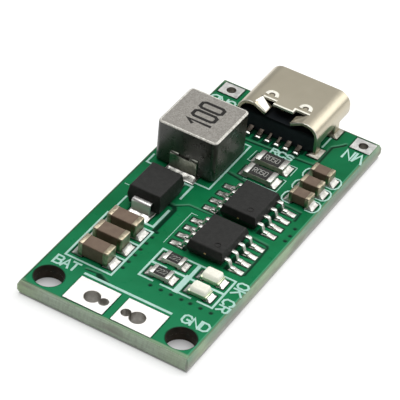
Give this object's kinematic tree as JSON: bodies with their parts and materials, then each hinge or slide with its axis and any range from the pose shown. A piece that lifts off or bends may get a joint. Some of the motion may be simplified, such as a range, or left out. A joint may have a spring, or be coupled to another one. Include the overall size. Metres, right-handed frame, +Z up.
{
  "type": "lithium battery charger module",
  "caption": "Small green circuit board that charges a lithium battery pack from a USB-C supply, with an inductor, diode, chips, chip parts, status lights and wire pads.",
  "frame": {"origin": "centre of the board's underside", "axes": "+Z up out of the component side, +Y along the board towards the USB-C receptacle, +X across the board towards the positive input pad"},
  "size_m": [0.018, 0.0382, 0.0064],
  "materials": {
    "laminate": "glass-epoxy laminate under green solder mask, glossy",
    "tinned_copper": "hot-air levelled tin on copper",
    "solder": "bright solder",
    "shell_steel": "nickel-plated drawn steel, satin",
    "black_moulding": "fine matte moulding compound",
    "gilt_contact": "gold-flashed copper alloy",
    "inductor_core": "pressed iron powder, fine matte grain",
    "tinned_lead": "tin-plated copper strip",
    "capacitor_ceramic": "fired brown ceramic, satin",
    "end_metal": "dull tin plating",
    "resistor_ceramic": "white alumina",
    "overcoat": "black glaze",
    "light_base": "pale laminate",
    "light_lens": "milky epoxy",
    "gilt_end": "gold-flashed copper"
  },
  "bodies": {
    "root": {"battery_pad_negative": "tinned_copper", "battery_pad_positive": "tinned_copper", "circuit_board": "laminate", "controller_body": "black_moulding", "controller_leads": "tinned_lead", "controller_solder": "solder", "diode_body": "black_moulding", "diode_leads": "tinned_lead", "diode_solder": "solder", "inductor_body": "inductor_core", "inductor_solder": "solder", "inductor_terminals": "tinned_lead", "input_capacitor_1": "capacitor_ceramic", "input_capacitor_1_ends": "end_metal", "input_capacitor_2": "capacitor_ceramic", "input_capacitor_2_ends": "end_metal", "input_capacitor_3": "capacitor_ceramic", "input_capacitor_3_ends": "end_metal", "input_capacitor_solder": "solder", "input_pad_negative": "tinned_copper", "input_pad_positive": "tinned_copper", "light_resistor_1_base": "resistor_ceramic", "light_resistor_1_ends": "end_metal", "light_resistor_1_overcoat": "overcoat", "light_resistor_2_base": "resistor_ceramic", "light_resistor_2_ends": "end_metal", "light_resistor_2_overcoat": "overcoat", "light_resistor_solder": "solder", "output_capacitor_1": "capacitor_ceramic", "output_capacitor_1_ends": "end_metal", "output_capacitor_2": "capacitor_ceramic", "output_capacitor_2_ends": "end_metal", "output_capacitor_3": "capacitor_ceramic", "output_capacitor_3_ends": "end_metal", "output_capacitor_solder": "solder", "sense_resistor_1_base": "resistor_ceramic", "sense_resistor_1_ends": "end_metal", "sense_resistor_1_overcoat": "overcoat", "sense_resistor_2_base": "resistor_ceramic", "sense_resistor_2_ends": "end_metal", "sense_resistor_2_overcoat": "overcoat", "sense_resistor_solder": "solder", "status_light_1_base": "light_base", "status_light_1_ends": "gilt_end", "status_light_1_lens": "light_lens", "status_light_2_base": "light_base", "status_light_2_ends": "gilt_end", "status_light_2_lens": "light_lens", "status_light_solder": "solder", "transistor_body": "black_moulding", "transistor_leads": "tinned_lead", "transistor_solder": "solder", "usb_contact_solder": "solder", "usb_contacts": "gilt_contact", "usb_housing": "black_moulding", "usb_leg_solder": "solder", "usb_shell": "shell_steel"}
  },
  "joints": []
}
